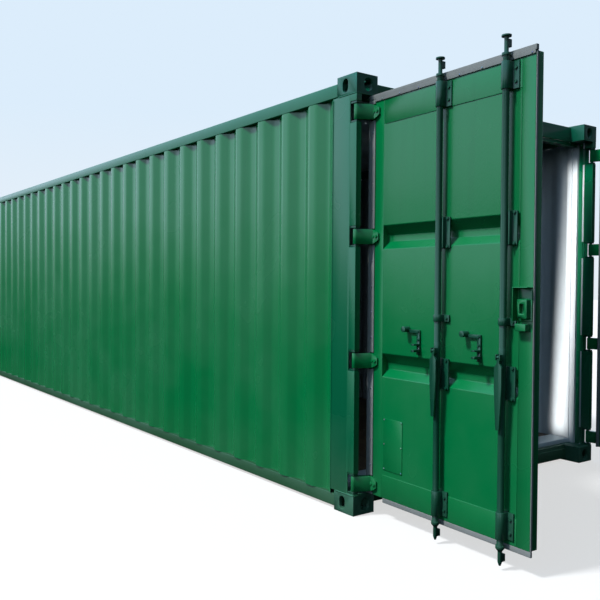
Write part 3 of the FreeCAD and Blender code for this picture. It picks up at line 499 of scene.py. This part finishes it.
# ---------------------------------------------------------------- floor
# Hardwood plywood sheets laid across the bearers, screwed down in rows and edged with steel. They
# are oiled brown and worn by trucks.
low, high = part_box("floor_boards")
floor_wood, tree, surface = finish("oiled_hardwood_plywood")
spot = add(tree, "ShaderNodeTexCoord").outputs["Object"]
grain_place = add(tree, "ShaderNodeMapping", {"Vector": spot, "Scale": (1.2, 30.0, 30.0)})
grain = add(tree, "ShaderNodeTexNoise", {"Vector": grain_place.outputs[0], "Scale": 3.0, "Detail": 8.0,
                                         "Roughness": 0.7})
tint = add(tree, "ShaderNodeValToRGB", {"Fac": grain.outputs["Fac"]})
tint.color_ramp.elements[0].position, tint.color_ramp.elements[0].color = 0.3, colour("#3a2718")
tint.color_ramp.elements[1].position, tint.color_ramp.elements[1].color = 0.75, colour("#6b4c31")
wear = add(tree, "ShaderNodeTexNoise", {"Vector": spot, "Scale": 2.2, "Detail": 5.0})
worn = add(tree, "ShaderNodeMapRange", {"Value": wear.outputs["Fac"], "From Min": 0.45, "From Max": 0.8,
                                        "To Max": 0.5})
tree.links.new(blended(tree, "MIX", worn.outputs[0], tint.outputs["Color"], colour("#8a7257")),
               surface.inputs["Base Color"])
ridge = add(tree, "ShaderNodeBump", {"Height": grain.outputs["Fac"], "Strength": 0.3, "Distance": 0.002})
tree.links.new(ridge.outputs[0], surface.inputs["Normal"])
surface.inputs["Roughness"].default_value = 0.62


def boarded_floor(name, low, high, board, sheet):
    """Sheets of board width across and sheet length along, butted: the height drops 4 mm in a
    narrow groove at each seam. The grid has its lines only beside the seams."""
    across = np.arange(low[1] + board, high[1] - 0.1, board)
    along = np.arange(low[0] + sheet, high[0] - 0.3, sheet)
    step = np.array([-0.003, -0.001, 0.001, 0.003])
    y = np.concatenate([[low[1]], (across[:, None] + step).ravel(), [high[1]]])
    x = np.concatenate([[low[0]], (along[:, None] + step).ravel(), [high[0]]])
    drop_y = np.concatenate([[0], np.tile([0, 1, 1, 0], len(across)), [0]])
    drop_x = np.concatenate([[0], np.tile([0, 1, 1, 0], len(along)), [0]])
    grid = np.zeros((len(x), len(y), 3))
    grid[..., 0], grid[..., 1] = x[:, None], y[None, :]
    grid[..., 2] = high[2] - 0.004 * np.maximum(drop_x[:, None], drop_y[None, :])
    under = grid.copy()
    under[..., 2] = low[2]
    return closed_sheet(name, grid, under, [floor_wood])


planks = boarded_floor("plywood_floor", low, high, 0.586, 2.34)
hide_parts("floor_boards")
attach(planks, "frame")


def round_heads(name, centres, out, radius, rise, body, material, sides=8, washer=0.0):
    """Fastener heads at many places: rings of points at radius x r and rise x h above each centre,
    where (r, h) runs from the skirt over the dome to the crown. Six sides make a hex head."""
    centres = np.array(centres, float)
    out = np.broadcast_to(np.array(out, float), centres.shape)
    out = out / np.linalg.norm(out, axis=1)[:, None]
    lead = np.cross(out, np.where(np.abs(out[:, 2:]) > 0.9, [[1.0, 0, 0]], [[0, 0, 1.0]]))
    lead /= np.linalg.norm(lead, axis=1)[:, None]
    cross = np.cross(out, lead)
    profile = [(1, -0.3), (1, 0.72), (0.86, 1.0), (0.0, 1.0)] if sides == 6 else [(1, -0.3), (1, 0.15),
                                                                                  (0.82, 0.62), (0.45,
                                                                                                 0.92), (0.0, 1.0)]
    if washer:
        profile = [(washer, -0.3), (washer, 0.16), (1.02, 0.2)] + profile[1:]
    r, h = np.array(profile)[:-1].T
    a = np.arange(sides) * 2 * math.pi / sides
    ring = (centres[:, None, None] + radius * r[None, :, None,
                                                None] * (np.cos(a)[None, None, :, None] * lead[:, None,
                                                                                               None]
            + np.sin(a)[None, None, :, None] * cross[:, None, None]) + rise * h[None, :, None,
                                                                                None] * out[:, None, None])
    levels = len(r)
    each = levels * sides + 1
    points = np.concatenate([ring.reshape(len(centres), -1, 3), (centres + rise * out)[:, None]], 1)
    number = np.arange(levels * sides).reshape(levels, sides)
    turned = np.roll(number, -1, 1)
    quads = np.stack([number[:-1], turned[:-1], turned[1:], number[1:]], -1).reshape(-1, 4)
    faces = []
    for piece in range(len(centres)):
        base = piece * each
        faces += (quads + base).tolist()
        faces += [[base + number[-1, i], base + turned[-1, i], base + each - 1] for i in range(sides)]
        faces.append((number[0][::-1] + base).tolist())
    mesh = bpy.data.meshes.new(name)
    mesh.from_pydata(points.reshape(-1, 3).tolist(), [], faces)
    mesh.materials.append(material)
    shell = bmesh.new()
    shell.from_mesh(mesh)
    bmesh.ops.recalc_face_normals(shell, faces=shell.faces)
    shell.to_mesh(mesh)
    shell.free()
    mesh.polygons.foreach_set("use_smooth", np.ones(len(faces), bool))
    mesh.set_sharp_from_angle(angle=math.radians(38))
    made = bpy.data.objects.new(name, mesh)
    bpy.context.collection.objects.link(made)
    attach(made, body)
    return made


zinc, tree, surface = finish("zinc_plated_steel")
# Zinc plate on drawn steel, dulled: a soft grey metal with a faint spangle of 6 mm.
spot = add(tree, "ShaderNodeTexCoord").outputs["Object"]
spangle = add(tree, "ShaderNodeTexVoronoi", {"Vector": spot, "Scale": 160.0})
tree.links.new(blended(tree, "MIX", 0.3, colour("#8d9294"), spangle.outputs["Color"]),
               surface.inputs["Base Color"])
surface.inputs["Metallic"].default_value = 0.9
surface.inputs["Roughness"].default_value = 0.42
rows = np.arange(low[0] + 0.12, high[0], 0.586)
screws = [(x, y, high[2]) for x in rows for y in np.arange(low[1] + 0.06, high[1], 0.29)]
round_heads("floor_screws", screws, (0, 0, 1), 0.006, 0.0012, "frame", zinc, 6)
eased("lashing_ring_row", "lashing_rings", "frame", 0.0005, zinc, steps=1)


# ---------------------------------------------------------------- door leaves
# Each leaf is a frame of steel box sections round a pressed panel with two level troughs. Outside
# it is the body's green, and inside it is lined in the grey of the walls.
# Distances from a hinge pin: its place, how far in the outer face lies, and where the hinges and
# the locking bars stand.
hinge_x, hinge_y = 6.076, 1.199
leaf_face = 0.094
hinge_levels = (0.188, 0.914, 1.640, 2.366)
bar_places = (0.610, 1.042)
leaf_turn = {"near": math.radians(-2), "far": math.radians(70)}


def on_door(side, points):
    """Places points given from a leaf's hinge, along it, inwards and up, where the leaf stands: the
    far leaf is the near one turned over, then each is turned about its pin."""
    points = np.array(points, float).reshape(-1, 3)
    turn, flip = leaf_turn[side], -1 if side == "far" else 1
    x, y = points[:, 0], flip * points[:, 1]
    return np.stack([hinge_x + x * math.cos(turn) - y * math.sin(turn),
                     (hinge_y if side == "far" else -hinge_y) + x * math.sin(turn) + y * math.cos(turn), points[:, 2]], -1)


def outwards(side):
    """The way that a leaf's outer face looks."""
    return on_door(side, [(0, -1, 0)])[0] - on_door(side, [(0, 0, 0)])[0]


def lined(side):
    """Picks a leaf's faces that lie at least 22 mm behind its outer face and look inwards."""
    away = outwards(side)
    start = on_door(side, [(0, leaf_face + 0.022, 0)])[0] @ away
    return lambda centre, normal: (centre @ away < start) & (normal @ away < -0.3)


leaf_paint = painted_steel("gloss_green_paint_on_door_leaf", "#016a38", 0.22, 0.05, 0.06)


def leaf_pressing(name, side):
    """The panel's outer grid: depth = rounded trough line over its height + 3 mm x 3t^2 - 2t^3,
    where t rises from 0 at each upright edge to 1 over 30 mm, so that it meets the stiles flush."""
    trough = [(0.0, 0.0), (0.042, 0.042), (0.082, 0.042), (0.136, 0.0)]
    corner = np.array([(0.2575, 0)] + [(0.828 + z, d) for z, d in trough] + [(1.566 + z, d) for z,
                                                                             d in trough] + [(2.2845, 0)])
    line = rounded(corner, 0.004)
    across = np.concatenate([0.1355 + 0.030 * np.linspace(0, 1, 6), np.linspace(0.2, 1.045, 12),
                             1.1105 - 0.030 * np.linspace(1, 0, 6)])
    t = np.clip(np.minimum(across - 0.1355, 1.1105 - across) / 0.030, 0, 1)
    depth = line[:, 1][:, None] + 0.003 * (t * t * (3 - 2 * t))[None, :]
    wave = 0.0009 * np.sin(5.1 * across)[None, :] * np.sin(4.3 * line[:, 0])[:, None] * t[None, :]
    shape = depth.shape
    x = np.broadcast_to(across[None, :], shape).ravel()
    z = np.broadcast_to(line[:, 0][:, None], shape).ravel()
    grids = [on_door(side, np.stack([x, leaf_face + skin + (depth + np.abs(wave)).ravel(), z],
                                    -1)).reshape(shape + (3,))
             for skin in (0.0, 0.004)]
    return closed_sheet(name, grids[0], grids[1], [leaf_paint, inside_paint])


for side in ("near", "far"):
    for piece in ("door_stiles", "door_rails"):
        eased(f"{side}_leaf_{piece[5:]}", f"{side}_{piece}", f"{side}_door", 0.0025, leaf_paint,
              lined(side), inside_paint, 2)
    pressing = leaf_pressing(f"{side}_leaf_pressing", side)
    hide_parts(f"{side}_door_panel")
    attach(pressing, f"{side}_door")
    seams = [((0.137, 0.0965, z), (1.109, 0.0965, z)) for z in (0.2565, 2.2855)]
    weld_beads(f"{side}_leaf_welds", [on_door(side, ends) for ends in seams], 0.0025, f"{side}_door",
               leaf_paint)


# ---------------------------------------------------------------- door gaskets
# Extruded EPDM rubber strips, riveted round each leaf, whose lip seals against the posts, header
# and sill.
rubber, tree, surface = finish("extruded_grey_epdm_rubber")
# Grey rubber: matt, chalky, with fine draw lines at 5 mm where real ones are under 1 mm.
spot = add(tree, "ShaderNodeTexCoord").outputs["Object"]
chalk = add(tree, "ShaderNodeTexNoise", {"Vector": spot, "Scale": 14.0, "Detail": 6.0, "Roughness": 0.7})
tree.links.new(blended(tree, "MIX", chalk.outputs["Fac"], colour("#6b6e6d"), colour("#848886")),
               surface.inputs["Base Color"])
lines = add(tree, "ShaderNodeTexNoise", {"Vector": spot, "Scale": 200.0})
tree.links.new(add(tree, "ShaderNodeBump", {"Height": lines.outputs["Fac"], "Strength": 0.2,
                                            "Distance": 0.001}).outputs[0], surface.inputs["Normal"])
surface.inputs["Roughness"].default_value = 0.78
for side in ("near", "far"):
    eased(f"{side}_door_gasket", f"{side}_door_seal", f"{side}_door", 0.0025, rubber,
          steps=3)
    places = [(0.043, leaf_face - 0.006, z) for z in np.arange(0.30, 2.40, 0.15)
              if min(abs(z - h) for h in hinge_levels) > 0.06]
    places += [(x, leaf_face - 0.006, 2.432) for x in np.arange(0.12, 1.18, 0.15)]
    round_heads(f"{side}_gasket_rivets", on_door(side, places), outwards(side), 0.0055, 0.003,
                f"{side}_door", zinc, 8)


# ---------------------------------------------------------------- hinges
# Forged hinge blades, each held to the leaf's stile by bolts, turn on pins in lugs welded into
# notches of the post.
fitting_paint = painted_steel("green_paint_on_forged_fittings", "#0c4230", 0.24, 0.0, 0.1)
eased("hinge_lug_pins", "hinge_lugs", "frame", 0.002, fitting_paint)
for side in ("near", "far"):
    eased(f"{side}_hinge_forgings", f"{side}_hinge_blades", f"{side}_door", 0.003, leaf_paint,
          steps=2)
    places = [(x, leaf_face - 0.012, z) for z in hinge_levels for x in (0.060, 0.086)]
    round_heads(f"{side}_hinge_bolts", on_door(side, places), outwards(side), 0.010, 0.008, f"{side}_door",
                leaf_paint, 6, 1.3)


# ---------------------------------------------------------------- locking bars, cams and keepers
# Steel tube bars with forged cams at both ends, which bite behind keepers on the header and sill.
# Brackets hold each bar to the leaf in a sleeve, with bolts through a flange.
eased("keeper_forgings", "cam_keepers", "frame", 0.002, fitting_paint)
for side in ("near", "far"):
    eased(f"{side}_bar_brackets", f"{side}_bar_sleeves", f"{side}_door", 0.002, fitting_paint)
    for place in ("inner", "outer"):
        eased(f"{side}_{place}_lock_bar", f"{side}_{place}_bar", f"{side}_{place}_bar", 0.002,
              fitting_paint)
        eased(f"{side}_{place}_lever", f"{side}_{place}_handle", f"{side}_{place}_handle", 0.003,
              fitting_paint, steps=3)
    places = []
    for bar_at in bar_places:
        for low_z, tall in ((2.286, 0.130), (0.150, 0.130)):
            places += [(bar_at + 0.040, leaf_face - 0.008, low_z + tall * f) for f in (0.25, 0.75)]
        for low_z, tall in ((0.816, 0.160), (1.554, 0.160)):
            places += [(bar_at + 0.042, leaf_face - 0.008, low_z + 0.007),
                       (bar_at + 0.042, leaf_face - 0.008, low_z + tall - 0.007)]
        places.append((bar_at + 0.040, leaf_face - 0.008, 1.188))
    round_heads(f"{side}_bracket_bolts", on_door(side, places), outwards(side), 0.0085, 0.007,
                f"{side}_door", fitting_paint, 6, 1.25)


# ---------------------------------------------------------------- handle catches, lock box, data plate
# Pressed catches hold the levers level when locked. A welded box shields a padlock, and a blank
# riveted plate stands where the owner's plate goes.
for side in ("near", "far"):
    eased(f"{side}_lever_catches", f"{side}_handle_catches", f"{side}_door", 0.002, fitting_paint)
    places = [(bar_at - 0.182 + 0.011, leaf_face - 0.008, z) for bar_at in bar_places for z in (0.988,
                                                                                                1.062, 1.106)]
    round_heads(f"{side}_catch_bolts", on_door(side, places), outwards(side), 0.007, 0.006, f"{side}_door",
                fitting_paint, 6, 1.25)
eased("padlock_box", "lock_box", "near_door", 0.003, leaf_paint)
eased("blank_data_plate", "data_plate", "near_door", 0.001, leaf_paint)
places = [(x, leaf_face, z) for x in (0.158, 0.302) for z in (0.298, 0.440, 0.582)]
round_heads("data_plate_rivets", on_door("near", places), outwards("near"), 0.005, 0.003, "near_door",
            zinc, 8)
